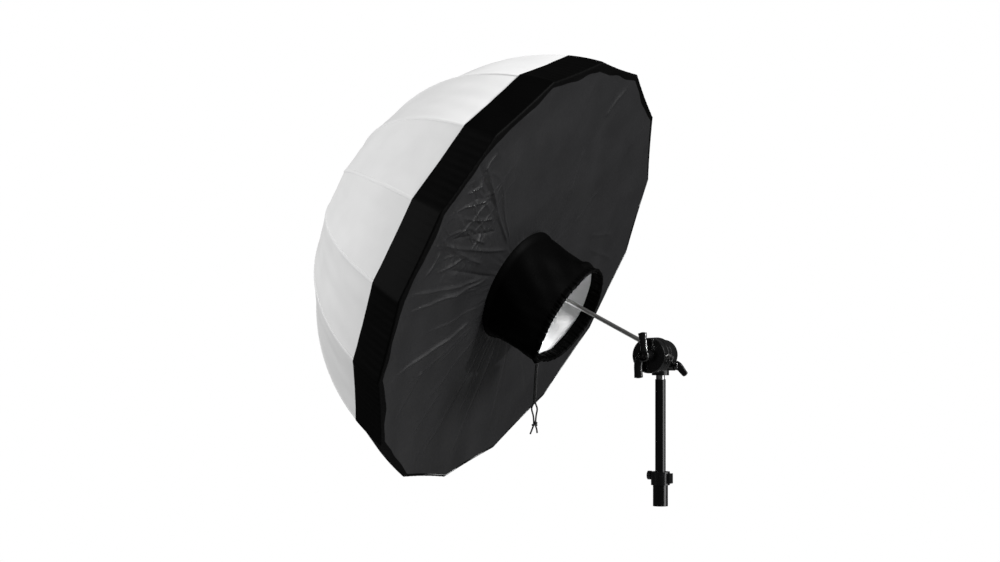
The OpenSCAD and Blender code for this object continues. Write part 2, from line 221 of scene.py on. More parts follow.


# %% [markdown]
# ## The drawcord's two strands
# The drawcord leaves the collar's lowest point as two strands of 3 mm braided cord. They hang
# side by side to an overhand knot, and their cut ends stick out below it. Each strand is a tube
# swept along a smooth curve through given points, at the cord's real length.


# %% Tubes along a route
def smooth_route(points, steps):
    """A Catmull-Rom curve through the points: each span is a cubic in the share along it."""
    points = np.asarray(points, float)
    padded = np.concatenate([2 * points[:1] - points[1:2], points, 2 * points[-1:] - points[-2:-1]])
    before, start, end, after = padded[:-3], padded[1:-2], padded[2:-1], padded[3:]
    share = (np.arange(steps) / steps)[None, :, None]
    before, start, end, after = (p[:, None] for p in (before, start, end, after))
    curve = (
        2 * start
        + (end - before) * share
        + (2 * before - 5 * start + 4 * end - after) * share**2
        + (3 * start - before - 3 * end + after) * share**3
    ) / 2
    return np.concatenate([curve.reshape(-1, 3), points[-1:]])


def frames_along(path):
    """Two unit vectors square to a path at each of its points, kept from twisting."""
    ahead = np.gradient(path, axis=0)
    ahead /= np.linalg.norm(ahead, axis=1, keepdims=True)
    first = np.cross(ahead, view_back)
    first /= np.linalg.norm(first, axis=1, keepdims=True)
    return first, np.cross(ahead, first)


def lengths_along(points, axis):
    """Distance travelled along one direction of a grid, in metres."""
    steps = np.linalg.norm(np.diff(points, axis=axis), axis=-1)
    start = np.zeros_like(np.take(points, [0], axis=axis)[..., 0])
    return np.concatenate([start, np.cumsum(steps, axis=axis)], axis=axis)


def grid_faces(rows, cols, wrap):
    """Four corner numbers for each cell of a grid, as one array."""
    number = np.arange(rows * cols).reshape(rows, cols)
    right = np.roll(number, -1, axis=1) if wrap else number[:, 1:]
    here = number if wrap else number[:, :-1]
    return np.stack([here[:-1], right[:-1], right[1:], here[1:]], axis=-1).reshape(-1, 4)


def build(name, points, faces, materials, which=None, corner_uv=None, normals=None):
    """Puts arrays of points, faces, material numbers, UVs and normals into a new object."""
    mesh = bpy.data.meshes.new(name)
    mesh.from_pydata(points.tolist(), [], [face.tolist() for face in faces])
    for material in materials:
        mesh.materials.append(material)
    mesh.polygons.foreach_set("use_smooth", np.ones(len(faces), bool))
    if which is not None:
        mesh.polygons.foreach_set("material_index", which.astype(np.int32))
    if corner_uv is not None:
        layer = mesh.uv_layers.new(name="UVMap")
        layer.data.foreach_set("uv", corner_uv.astype(np.float32).ravel())
    if normals is not None:
        mesh.normals_split_custom_set_from_vertices(normals.tolist())
    mesh.update()
    made = bpy.data.objects.new(name, mesh)
    bpy.context.scene.collection.objects.link(made)
    return made


def swept(name, path, wide, thick, sides, material, power=2.0):
    """A closed bar along a path. Its section is a rounded box: |x / wide|^p + |y / thick|^p = 1.
    wide and thick are numbers or one for each point of the path, and each end is one pole."""
    path = np.asarray(path, float)
    first, second = frames_along(path)
    turn = np.arange(sides) / sides * 2 * math.pi
    ease = 2 / power
    across = np.sign(np.cos(turn)) * np.abs(np.cos(turn)) ** ease
    over = np.sign(np.sin(turn)) * np.abs(np.sin(turn)) ** ease
    wide = np.broadcast_to(wide, len(path))[:, None, None]
    thick = np.broadcast_to(thick, len(path))[:, None, None]
    rings = path[:, None] + wide * across[:, None] * first[:, None]
    rings = rings + thick * over[:, None] * second[:, None]
    rows = len(path)
    faces = grid_faces(rows, sides, wrap=True)
    tail = rows * sides
    number = np.arange(sides)
    beside = np.roll(number, -1)
    start_cap = np.stack([beside, number, np.full(sides, tail)], axis=-1)
    end_cap = np.stack([number, beside, np.full(sides, tail + 1)], axis=-1)
    end_cap[:, :2] += (rows - 1) * sides
    run = lengths_along(path, 0)
    girth = turn * float(wide.max())
    uv = np.stack(np.broadcast_arrays(girth[None, :], run[:, None]), axis=-1).reshape(-1, 2)
    uv = np.concatenate([uv, [[0, run[0]], [0, run[-1]]]])
    every = [*faces, *start_cap, *end_cap]
    corner_uv = uv[np.concatenate([part.ravel() for part in (faces, start_cap, end_cap)])]
    points = np.concatenate([rings.reshape(-1, 3), path[:1], path[-1:]])
    return build(name, points, every, [material], corner_uv=corner_uv)


# %% [markdown]
# ## Braided cord
# Polyester cord is braided from sixteen yarns, which cross as two sets of spirals. The braid is
# drawn as two slanted waves on the tube's own map: one turn of a yarn in 8 mm of cord.

# %% Braided cord finish
CORD_D = 3 * MM
YARN = 1.5 * MM


def braided(name, dark, light):
    """Two crossed sets of slanted yarns drive the colour and the bump of a matt cord."""
    material, tree, output = new_finish(name)
    along = add(tree, "ShaderNodeTexCoord").outputs["UV"]
    sets = []
    for slant in (1, -1):
        turned_map = add(
            tree,
            "ShaderNodeMapping",
            {"Vector": along, "Rotation": (0, 0, slant * math.radians(35))},
        )
        wave = add(
            tree,
            "ShaderNodeTexWave",
            {"Vector": turned_map.outputs["Vector"], "Scale": 1 / YARN / 6.2832, "Distortion": 0.3},
        )
        sets.append(wave.outputs["Fac"])
    braid = add(tree, "ShaderNodeMath", {0: sets[0], 1: sets[1]}, operation="MAXIMUM")
    bump = add(
        tree,
        "ShaderNodeBump",
        {"Strength": 0.7, "Distance": 0.3 * MM, "Height": braid.outputs[0]},
    )
    shader = add(
        tree,
        "ShaderNodeBsdfPrincipled",
        {
            "Base Color": ramp(tree, braid.outputs[0], [(0.4, dark), (0.9, light)]),
            "Roughness": 0.6,
            "Normal": bump.outputs["Normal"],
            "Sheen Weight": 0.2,
            "Sheen Roughness": 0.4,
        },
    )
    tree.links.new(shader.outputs[0], output.inputs["Surface"])
    return material


black_cord = braided("braided_polyester_cord", "#060606", "#151515")

# %% [markdown]
# ## Laying the strands
# The strands keep to the routes of the design. The knot is a short fat loop of the same cord,
# pulled tight: a path that winds one and a half times round the pair.

# %% Strands and knot
STRAND_A = [
    (-202, -96, 256), (-203.5, -96, 240), (-205, -96, 220), (-206, -96, 200), (-207, -96, 186),
    (-211, -96, 175), (-208, -96, 163), (-207, -96, 154), (-207, -96, 146), (-210, -97, 137),
    (-213, -98, 129),
]
STRAND_B = [
    (-198, -98, 256), (-199.5, -98, 240), (-201, -98, 220), (-202, -98, 200), (-202.5, -98, 186),
    (-199, -98, 175), (-201, -98, 163), (-202.5, -97, 154), (-203, -97, 146), (-201, -96, 138),
    (-200, -96, 131),
]
KNOT_AT = np.array([-205, -96.5, 147]) * MM


def smooth(x):
    """0 below 0, 1 above 1, and a smooth rise between them."""
    x = np.clip(x, 0, 1)
    return x * x * (3 - 2 * x)


def knot_piece():
    """A tight overhand knot: a coil of one and a half turns that rises as it winds."""
    wind = np.linspace(0, 3 * math.pi, 60)
    rise = (wind / wind[-1] - 0.5) * 6 * MM
    swell = 3.4 * MM + 0.8 * MM * np.sin(wind * 2)
    path = KNOT_AT + np.stack(
        [swell * np.cos(wind), 0.9 * swell * np.sin(wind), rise + 1.5 * MM * np.sin(wind)], axis=-1
    )
    ends = np.minimum(np.linspace(0, 1, 60), np.linspace(1, 0, 60))
    radius = CORD_D / 2 * np.sqrt(smooth(ends / 0.06) * 0.99 + 0.01)
    return swept("drawcord_knot", path, radius, radius, 16, black_cord)


knot = knot_piece()
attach(knot, "back_panel")
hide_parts("cord_knot")
for letter, points in (("a", STRAND_A), ("b", STRAND_B)):
    route = smooth_route(np.array(points) * MM, 6)
    strand = swept(f"drawcord_strand_{letter}", route, CORD_D / 2, CORD_D / 2, 16, black_cord)
    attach(strand, "back_panel")
    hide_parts(f"drawcord_{letter}")

# %% [markdown]
# ## Cloth finishes
# The canopy is matt white nylon. The panel is black coated polyester, a close plain weave whose low
# gloss shows its creases. Its skirt uses a darker copy of the same polyester, which paints the shade
# on the panel's side wall. A weave of 0.3 mm threads is too fine to show from here, so its bump is
# drawn with 1.2 mm threads.


# %% Woven cloth
THREAD = 1.2 * MM


def woven(name, dark, light, roughness, sheen, sheen_tint, weave_depth, crease=0.0, shine=0.2):
    """A plain weave: two crossed wave bumps in the cloth's own metres, under cloudy colour."""
    material, tree, output = new_finish(name)
    cloth = add(tree, "ShaderNodeTexCoord").outputs["UV"]
    place = add(tree, "ShaderNodeTexCoord").outputs["Object"]
    cloud = add(tree, "ShaderNodeTexNoise", {"Vector": place, "Scale": 14.0, "Detail": 6.0})
    colour = ramp(tree, cloud.outputs["Fac"], [(0.3, dark), (0.7, light)])
    waves = [
        add(
            tree,
            "ShaderNodeTexWave",
            {"Vector": cloth, "Scale": 1 / THREAD / 6.2832, "Distortion": 0.2},
            bands_direction=direction,
        ).outputs["Fac"]
        for direction in ("X", "Y")
    ]
    weave = add(tree, "ShaderNodeMath", {0: waves[0], 1: waves[1]}, operation="MULTIPLY")
    fine = add(
        tree,
        "ShaderNodeBump",
        {"Strength": weave_depth, "Distance": 0.1 * MM, "Height": weave.outputs[0]},
    )
    normal = fine.outputs["Normal"]
    if crease:
        folds = add(
            tree,
            "ShaderNodeTexNoise",
            {"Vector": place, "Scale": 26.0, "Detail": 3.0, "Distortion": 1.4},
        )
        ridges = add(tree, "ShaderNodeMath", {0: folds.outputs["Fac"], 1: 0.5}, operation="SUBTRACT")
        edge = add(tree, "ShaderNodeMath", {0: ridges.outputs[0]}, operation="ABSOLUTE")
        normal = add(
            tree,
            "ShaderNodeBump",
            {"Strength": crease, "Distance": 3 * MM, "Height": edge.outputs[0], "Normal": normal},
        ).outputs["Normal"]
    shader = add(
        tree,
        "ShaderNodeBsdfPrincipled",
        {
            "Base Color": colour,
            "Roughness": roughness,
            "Normal": normal,
            "Sheen Weight": sheen,
            "Sheen Roughness": 0.4,
            "Sheen Tint": linear(sheen_tint),
            "Specular IOR Level": shine,
        },
    )
    tree.links.new(shader.outputs[0], output.inputs["Surface"])
    return material


CLOTHS = {
    "white_nylon_cloth": ("#e0e0e0", "#e6e6e6", 0.75, 0.1, "#ffffff", 0.15),
    "white_nylon_seam": ("#e4e4e4", "#e8e8e8", 0.7, 0.1, "#ffffff", 0.3),
    "black_polyester_cloth": ("#1e1e1f", "#232324", 0.42, 0.0, "#808080", 0.2, 0.25, 0.3),
    # painted shade: the skirt is the same polyester as the face, made much darker to stand in for the
    # shade on the panel's side wall
    "black_polyester_skirt_painted_shade": ("#020202", "#040404", 0.6, 0.0, "#505050", 0.2, 0.15, 0.05),
    "black_twill_collar": ("#030303", "#050505", 0.5, 0.0, "#505050", 0.2, 0.2, 0.02),
    "white_lining_cloth": ("#e4e5e6", "#f4f4f4", 0.6, 0.1, "#ffffff", 0.2, 0.5),
}
white_nylon, seam_nylon, black_polyester, skirt_painted_shade_polyester, collar_twill, white_lining = (
    woven(name, *look) for name, look in CLOTHS.items()
)
print("cloth finishes:", [m.name for m in bpy.data.materials])

# %% [markdown]
# ## Metal, paint and plastic finishes
# The stand and the grip head are steel and cast zinc under a glossy black enamel: a clear, sharp
# highlight on near black, with a slight orange peel. The shaft is bare bright-drawn steel, which has
# fine lines along its length. The hubs are black nylon, moulded and slightly rough.


# %% Hard finishes
def enamel(name, base, lighter, roughness, peel, coat=0.5):
    """Glossy paint over metal: orange peel bump, cloudy roughness, and a clear coat."""
    material, tree, output = new_finish(name)
    place = add(tree, "ShaderNodeTexCoord").outputs["Object"]
    skin = add(tree, "ShaderNodeTexNoise", {"Vector": place, "Scale": 900.0, "Detail": 2.0})
    wear = add(tree, "ShaderNodeTexNoise", {"Vector": place, "Scale": 60.0, "Detail": 8.0})
    rough = add(
        tree,
        "ShaderNodeMapRange",
        {"Value": wear.outputs["Fac"], "To Min": roughness * 0.7, "To Max": roughness * 1.4},
    )
    bump = add(
        tree,
        "ShaderNodeBump",
        {"Strength": peel, "Distance": 0.05 * MM, "Height": skin.outputs["Fac"]},
    )
    shader = add(
        tree,
        "ShaderNodeBsdfPrincipled",
        {
            "Base Color": ramp(tree, wear.outputs["Fac"], [(0.35, base), (0.75, lighter)]),
            "Roughness": rough.outputs["Result"],
            "Normal": bump.outputs["Normal"],
            "Coat Weight": coat,
            "Coat Roughness": 0.12,
        },
    )
    tree.links.new(shader.outputs[0], output.inputs["Surface"])
    return material


def drawn_steel(name, dark, light, roughness, stretch):
    """Bare steel with fine lines: noise stretched along one direction drives colour and bump."""
    material, tree, output = new_finish(name)
    place = add(tree, "ShaderNodeTexCoord").outputs["Object"]
    lines = add(tree, "ShaderNodeMapping", {"Vector": place, "Scale": stretch})
    grain = add(
        tree, "ShaderNodeTexNoise", {"Vector": lines.outputs["Vector"], "Scale": 900.0, "Detail": 3.0}
    )
    bump = add(
        tree,
        "ShaderNodeBump",
        {"Strength": 0.15, "Distance": 0.05 * MM, "Height": grain.outputs["Fac"]},
    )
    shader = add(
        tree,
        "ShaderNodeBsdfPrincipled",
        {
            "Base Color": ramp(tree, grain.outputs["Fac"], [(0.3, dark), (0.7, light)]),
            "Metallic": 1.0,
            "Roughness": roughness,
            "Normal": bump.outputs["Normal"],
        },
    )
    tree.links.new(shader.outputs[0], output.inputs["Surface"])
    return material


def moulded(name, dark, light, roughness):
    """Moulded plastic: a fine spark-eroded grain with a slight cloud in its colour."""
    material, tree, output = new_finish(name)
    place = add(tree, "ShaderNodeTexCoord").outputs["Object"]
    grain = add(tree, "ShaderNodeTexNoise", {"Vector": place, "Scale": 2500.0, "Detail": 2.0})
    cloud = add(tree, "ShaderNodeTexNoise", {"Vector": place, "Scale": 80.0, "Detail": 4.0})
    bump = add(
        tree,
        "ShaderNodeBump",
        {"Strength": 0.3, "Distance": 0.05 * MM, "Height": grain.outputs["Fac"]},
    )
    shader = add(
        tree,
        "ShaderNodeBsdfPrincipled",
        {
            "Base Color": ramp(tree, cloud.outputs["Fac"], [(0.3, dark), (0.7, light)]),
            "Roughness": roughness,
            "Normal": bump.outputs["Normal"],
        },
    )
    tree.links.new(shader.outputs[0], output.inputs["Surface"])
    return material


EVEN = (1.0, 1.0, 1.0)
black_enamel = enamel("black_enamel_steel", "#020202", "#040404", 0.16, 0.05, 0.2)
cast_enamel = enamel("black_enamel_cast_zinc", "#020202", "#050506", 0.24, 0.25, 0.3)
shaft_steel = drawn_steel("drawn_steel_shaft", "#b4b4b2", "#dcdcda", 0.34, (0.05, 1.0, 0.1))
bright_steel = drawn_steel("bright_steel", "#a9a9aa", "#d0d0d0", 0.25, EVEN)
stretcher_steel = drawn_steel("galvanised_steel_strip", "#8f9092", "#b4b5b7", 0.4, EVEN)
black_nylon = moulded("black_moulded_nylon", "#080809", "#0e0e0f", 0.42)
black_rubber = moulded("black_rubber", "#0d0d0d", "#151515", 0.75)
glass_fibre = moulded("pultruded_glass_fibre", "#c9c9c2", "#dededa", 0.35)

# %% [markdown]
# ## Finishes for the frame's own parts
# Tubes, discs, ribs and hubs already have their true shape, so they keep it and only get a finish.

# %% Finishes on the frame
FINISH_OF = {
    black_enamel: ["stand_tube", "stand_riser", "head_washer"],
    cast_enamel: ["stand_collar", "head_receiver", "jaw_back", "jaw_front"],
    bright_steel: ["stand_spigot", "head_bolt", "crown_wire", "runner_wire"],
    shaft_steel: ["shaft"],
    black_rubber: ["shaft_cap"],
    black_nylon: ["crown_notch", "crown_cap", "runner", "runner_button", "collar_knob"],
    glass_fibre: RIB_NAMES,
    stretcher_steel: [name.replace("rib", "stretcher") for name in RIB_NAMES],
}


def finish_node(node, material):
    """Puts one finish on a frame part, in place of what it came with."""
    mesh = frame["nodes"][node].data
    mesh.materials.clear()
    mesh.materials.append(material)


for material, members in FINISH_OF.items():
    for node in members:
        finish_node(node, material)
print("finished", sum(len(m) for m in FINISH_OF.values()), "frame parts")

# %% [markdown]
# ## From a formula to a mesh
# A surface is a function of two parameters. It is worked out on a grid, with its direction at each
# point from two small steps, so that neighbouring cloth pieces shade as one sheet. Cloth has a
# thickness, so the same grid is repeated a little further in, and the edges are closed.


# %% Grids and shells
def directions(shape, u, v, step=1e-3):
    """Unit normals of a surface: the cross product of its two slopes, from small steps."""
    across = shape(u + step, v) - shape(u - step, v)
    down = shape(u, v + step) - shape(u, v - step)
    normal = np.cross(across, down)
    return normal / np.maximum(np.linalg.norm(normal, axis=-1, keepdims=True), 1e-12)


def cloth_shell(name, shape, u, v, thickness, materials, wrap=False, flip=False, change_row=None):
    """Cloth of a real thickness on shape(u, v): an outer face, the same moved in, and the edges.

    materials are the outside, the inside, and the outside from change_row on, if there is one.
    """
    grid_u, grid_v = np.meshgrid(u, v)
    points = shape(grid_u, grid_v)
    normal = directions(shape, grid_u, grid_v) * (-1 if flip else 1)
    rows, cols = grid_u.shape
    count = rows * cols
    top = grid_faces(rows, cols, wrap)
    number = np.arange(count).reshape(rows, cols)
    if wrap:
        borders = [np.append(number[0], number[0, 0]), np.append(number[-1], number[-1, 0])[::-1]]
    else:
        borders = [np.concatenate([number[0], number[1:, -1], number[-1, -2::-1], number[-2::-1, 0]])]
    if flip:
        top = top[:, ::-1]
        borders = [border[::-1] for border in borders]
    sides = [np.stack([b[1:], b[:-1], b[:-1] + count, b[1:] + count], axis=-1) for b in borders]
    faces = np.concatenate([top, top[:, ::-1] + count, *sides])
    which = np.zeros(len(faces), int)
    which[len(top) : 2 * len(top)] = 1
    if change_row is not None:
        per_row = len(top) // (rows - 1)
        which[change_row * per_row : len(top)] = 2
    uv = np.stack([lengths_along(points, 1), lengths_along(points, 0)], axis=-1).reshape(-1, 2)
    corner_uv = np.concatenate([uv, uv])[faces]
    if wrap:
        girth = uv[:, 0].max() * cols / (cols - 1)
        crosses = np.ptp(corner_uv[..., 0], axis=1) > girth / 2
        corner_uv[..., 0] += girth * (crosses[:, None] & (corner_uv[..., 0] < girth / 2))
    flat = points.reshape(-1, 3)
    facing = normal.reshape(-1, 3)
    return build(
        name,
        np.concatenate([flat, flat - facing * thickness]),
        faces,
        materials,
        which,
        corner_uv,
        np.concatenate([facing, -facing]),
    )


# %% [markdown]
# ## The canopy's curve
# Each rib bends to a circular arc, fixed by the crown, the rim and the rib's angle at the rim. The
# cloth is tight between two ribs, so it sinks below the round dish, most at the rim. This gives the
# scalloped outline and a crest along every rib.

# %% Rib arc
CHORD_ANGLE = math.atan2(RIM_R - PIVOT_R, DISH_DEPTH)
CROWN_ANGLE = 2 * CHORD_ANGLE - RIM_ANGLE
ARC_R = math.hypot(RIM_R - PIVOT_R, DISH_DEPTH) / (2 * math.sin((CROWN_ANGLE - RIM_ANGLE) / 2))
ARC_CENTRE = (PIVOT_R - ARC_R * math.cos(CROWN_ANGLE), ARC_R * math.sin(CROWN_ANGLE))
SCALLOP = 10 * MM
HOLE_R = 18.5 * MM


def arc(angle, outside=0.0):
    """Radius and depth on the rib's arc where it makes an angle with the shaft."""
    reach = ARC_R + outside
    return ARC_CENTRE[0] + reach * np.cos(angle), ARC_CENTRE[1] - reach * np.sin(angle)


def sunk(across):
    """Share of the radius that the cloth sinks; across is 0 on a rib, 1 halfway to the next."""
    return SCALLOP / RIM_R * (1 - (1 - np.minimum(np.abs(across), 1)) ** 2)


EDGE_ANGLE = math.acos((HOLE_R - ARC_CENTRE[0]) / ARC_R)
RIB_LENGTH = ARC_R * (EDGE_ANGLE - RIM_ANGLE)
print(f"rib arc radius {ARC_R:.3f} m, cloth {RIB_LENGTH:.3f} m from crown to rim")

# %% [markdown]
# ## The canopy
# The cloth is one sheet at rest, but it has to follow sixteen ribs when the umbrella closes. It is
# cut halfway between the ribs, so that each piece swings with its own rib as the dish shuts. Near
# the crown the pieces lap under each other like a seam allowance.

# %% Canopy gores
CLOTH = 0.5 * MM
LAP = 0.45
LAP_SINK = 0.9 * MM
CLOTH_END = 0.992


def tension(turn, down):
    """Faint pulls in the tight cloth: long waves that fade towards the crown, in metres."""
    waves = np.sin(turn * 37 + 9 * down) + 0.6 * np.sin(turn * 61 - 14 * down + 1.3)
    return 0.35 * MM * waves * smooth(down * 1.4)


def gore_shape(centre):
    """A function for one rib's cloth. u is -1 to 1 between the half gores, v runs crown to rim."""

    def shape(u, v):
        over = np.maximum(np.abs(u) - 1, 0)
        angle = EDGE_ANGLE + (RIM_ANGLE - EDGE_ANGLE) * v
        turn = centre + u * GORE / 2
        lap = LAP_SINK * smooth(over / 0.04)
        radius, depth = arc(angle, tension(turn, v) - lap)
        return turned(radius * (1 - sunk(u)), turn, depth)

    return shape


def gore_grid(rows, cols):
    """The gore's own grid: even rows, and columns that widen near the crown for the lap."""
    v = np.linspace(0, CLOTH_END, rows)
    u = np.concatenate([[-1 - LAP], [-1.04], np.linspace(-1, 1, cols), [1.04], [1 + LAP]])
    return u, v


def canopy_gore(name):
    """One rib's cloth, laid on the arc and lapped near the crown, riding with its rib."""
    centre = TURNS[RIB_NAMES.index(name)]
    u, v = gore_grid(64, 25)

    def lapped(grid_u, grid_v):
        over = np.maximum(np.abs(grid_u) - 1, 0)
        width = 1 - smooth(grid_v / 0.6)
        across = np.sign(grid_u) * (np.minimum(np.abs(grid_u), 1) + over * width)
        return gore_shape(centre)(across, grid_v)

    both_sides = [white_nylon, white_nylon]
    piece = cloth_shell(f"canopy_{name[-2:]}", lapped, u, v, CLOTH, both_sides, flip=True)
    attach(piece, name)
    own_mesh(piece)
    return piece


canopy = [canopy_gore(name) for name in RIB_NAMES]
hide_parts("canopy")

# %% [markdown]
# ## Seams
# The gores are sewn together along the ribs. The allowance is turned over and stitched down, which
# doubles the cloth, so each seam is a narrow raised strip that reads a little lighter.

# %% Rib seams
SEAM_WIDTH = 7 * MM
SEAM_RISE = 0.7 * MM
SKIRT_OVER = 60 * MM
SEAM_END = 1 - SKIRT_OVER / RIB_LENGTH
SEAM_START = 0.02
PUCKER = 9 * MM


def seam(name):
    """A strip along the rib's crest: a flat-topped bump, carried along the arc."""
    centre = TURNS[RIB_NAMES.index(name)]

    def shape(u, v):
        angle = EDGE_ANGLE + (RIM_ANGLE - EDGE_ANGLE) * v
        rise = SEAM_RISE * (1 - np.abs(u) ** 4) - 0.5 * MM * np.abs(u) ** 4
        pucker = 0.12 * MM * np.sin(v * RIB_LENGTH / PUCKER * 6.2832) * (1 - u * u)
        radius, depth = arc(angle, rise + pucker)
        sideways = u * SEAM_WIDTH / 2
        return turned(radius, centre + sideways / radius, depth)

    piece = cloth_shell(
        f"canopy_seam_{name[-2:]}",
        shape,
        np.linspace(-1, 1, 9),
        np.linspace(SEAM_START, SEAM_END, 150),
        0.4 * MM,
        [seam_nylon, seam_nylon],
        flip=True,
    )
    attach(piece, name)
    return piece


seams = [seam(name) for name in RIB_NAMES]
print(len(seams), "seams of", round(RIB_LENGTH * (SEAM_END - SEAM_START), 3), "m")

# %% [markdown]
# ## The back panel's creases
# The panel was folded in a bag, so its cloth keeps creases. Long ridges fan out from the collar,
# and one stretch at the left is crumpled. Each crease is a ridge along a straight line between two
# places on the face, which are given in millimetres down and to the side.

# %% Creases
PLACES = {node: [points @ way for way in (-ABOVE, SIDE, ALONG)] for node, points in
          ((node, corners_of(node) - CROWN) for node in ("panel_face", "panel_skirt", "collar"))}
FACE_DEPTH = float(PLACES["panel_face"][2].max())
HEM_DEPTH = float(PLACES["panel_skirt"][2].min())


def end_ring(places, at_front):
    """Middle (down from the axis) and radius of the collar's ring at one of its ends."""
    down, _, depth = places
    edge = depth.max() - depth if at_front else depth - depth.min()
    ring = down[edge < 1 * MM]
    return (ring.max() + ring.min()) / 2, (ring.max() - ring.min()) / 2


BASE_DROP, BASE_R = end_ring(PLACES["collar"], at_front=False)
MOUTH_DROP = end_ring(PLACES["collar"], at_front=True)[0]
MOUTH_DEPTH = float(PLACES["collar"][2].max())

# from (down, side) to (down, side), height and half width, all in millimetres
CREASES = [
    ((3, -128), (83, -400), 3.4, 4),
    ((5, -150), (47, -418), 3.0, 4),
    ((60, -110), (120, -300), 1.8, 4),
    ((84, -118), (213, -349), 3.8, 5),
    ((95, -100), (230, -290), 1.6, 5),
    ((0, -110), (-8, -330), -2.4, 4),
    ((-51, -104), (-52, -385), 2.8, 4),
    ((-30, -240), (-70, -380), 2.0, 4),
    ((-58, -110), (-225, -350), 3.2, 4),
    ((-70, -120), (-180, -240), 2.4, 3),
    ((-215, -365), (-120, -200), -2.2, 4),
    ((-175, -300), (-150, -350), 2.6, 3),
    ((-168, -345), (-135, -290), -2.6, 4),
    ((-150, -250), (-125, -345), 2.8, 3),
    ((-140, -240), (-165, -320), -2.0, 3),
    ((-110, -205), (-105, -330), 2.6, 3),
    ((-150, -250), (-60, -330), 2.2, 3),
    ((-90, -180), (-62, -340), -2.2, 4),
    ((-95, -225), (-45, -245), 2.4, 3),
    ((-60, -200), (-85, -300), 2.2, 3),
    ((-20, -180), (-48, -300), 2.0, 4),
    ((-35, -260), (0, -330), 2.0, 3),
    ((-45, -345), (10, -370), 1.8, 4),
    ((-195, -320), (-235, -300), 1.8, 4),
    ((30, -150), (40, -300), 1.6, 4),
    ((110, -110), (180, -200), 1.6, 4),
    ((118, -75), (260, -170), 1.5, 5),
    ((124, -30), (390, -90), 1.6, 5),
    ((122, -5), (300, -20), 1.1, 4),
    ((120, 20), (395, 30), 1.6, 5),
    ((118, 60), (330, 150), 1.4, 5),
    ((130, 110), (270, 260), 1.3, 6),
    ((70, 150), (200, 330), 1.3, 6),
    ((180, -230), (290, -250), 1.4, 5),
    ((230, -120), (330, -170), 1.4, 5),
    ((-320, 55), (-395, 95), 2.2, 6),
    ((-260, 30), (-150, 50), 1.4, 7),
    ((-90, 215), (-85, 330), 1.4, 5),
    ((-60, 240), (-30, 380), 1.2, 5),
    ((-110, 120), (-190, 180), 1.3, 5),
]


def crease_height(down, side):
    """Sum of the ridges: height / (1 + (distance from the line / half width) squared) to the power
    1.5, which has a sharp crest, faded at both ends of each line."""
    total = np.zeros_like(down)
    for start, end, height, width in CREASES:
        start, end = np.array(start) * MM, np.array(end) * MM
        line = end - start
        length = math.hypot(*line)
        share = ((down - start[0]) * line[0] + (side - start[1]) * line[1]) / length**2
        bend = 2.5 * MM * np.sin(share * 5 + height)
        off = ((side - start[1]) * line[0] - (down - start[0]) * line[1]) / length + bend
        fade = smooth(share / 0.15) * smooth((1 - share) / 0.3)
        total += height * MM * fade / (1 + (off / (width * MM)) ** 2) ** 1.5
    return total


def gathers(turn, radius):
    """Fine pleats that fan out from the collar's seam and die away, deeper below the collar."""
    reach = np.exp(-(radius - BASE_R) / (45 * MM))
    below = 0.5 + 0.5 * np.cos(turn)
    pleats = np.sin(47 * turn + 1.1) + 0.7 * np.sin(31 * turn + 0.4) + 0.5 * np.sin(74 * turn)
    return 0.4 * MM * pleats * reach * (0.4 + below)


def crumple(down, side):
    """Small folds at the left: the least of three slanted ridge patterns, 50 to 75 mm apart, kept to
    an oval patch of the face."""
    first = np.abs(np.sin(down * 41 + side * 28 + 2 * np.sin(side * 30)))
    second = np.abs(np.sin(down * -37 + side * 42 + 1.5 * np.sin(down * 35)))
    third = np.abs(np.sin(down * 60 - side * 12 + 2 * np.sin(side * 21 + 1)))
    patch = np.exp(-(((down + 105 * MM) / (95 * MM)) ** 2) - ((side + 285 * MM) / (75 * MM)) ** 2)
    return -1.8 * MM * patch * smooth(np.minimum(np.minimum(first, second), third) * 3)


def waves(down, side):
    """Slow swells of slack cloth: three crossing sine waves of 90 to 200 mm."""
    return 0.8 * MM * (
        np.sin(down * 34 + side * 21)
        + np.sin(down * -18 + side * 47 + 1)
        + np.sin(side * 68 - down * 39)
    )


print(len(CREASES), "creases; collar ring", round(BASE_R, 4), "m, mouth at depth", round(MOUTH_DEPTH, 3))

# %% [markdown]
# ## The back panel
# The panel is one cap of black cloth with a white lining: a face across the umbrella's mouth, a
# rounded edge over the rib tips, and a skirt that grips the canopy by its elastic hem. It is made
# as sixteen wedges with shared edges, all riding on the back panel's body. A wedge is one surface:
# out along the face, round the edge and back along the skirt.

# %% Panel wedges
EDGE_R = 3.5 * MM
SKIRT_GAP = 1.6 * MM
PANEL_CLOTH = 0.6 * MM
FACE_END = 0.72
EDGE_END = 0.8
WRAP_AT = 0.965
BARE_TURN = math.radians(60)
SEAM_PUCKER = 15 * MM
EDGE_TURN = math.asin((ARC_CENTRE[1] + EDGE_R - FACE_DEPTH) / (ARC_R + SKIRT_GAP - EDGE_R))
HEM_TURN = math.asin((ARC_CENTRE[1] - HEM_DEPTH) / (ARC_R + SKIRT_GAP))


def base_radius(turn):
    """Distance from the shaft's axis to the collar's seam, whose ring lies lower than the shaft."""
    return BASE_DROP * np.cos(turn) + np.sqrt(BASE_R**2 - (BASE_DROP * np.sin(turn)) ** 2)


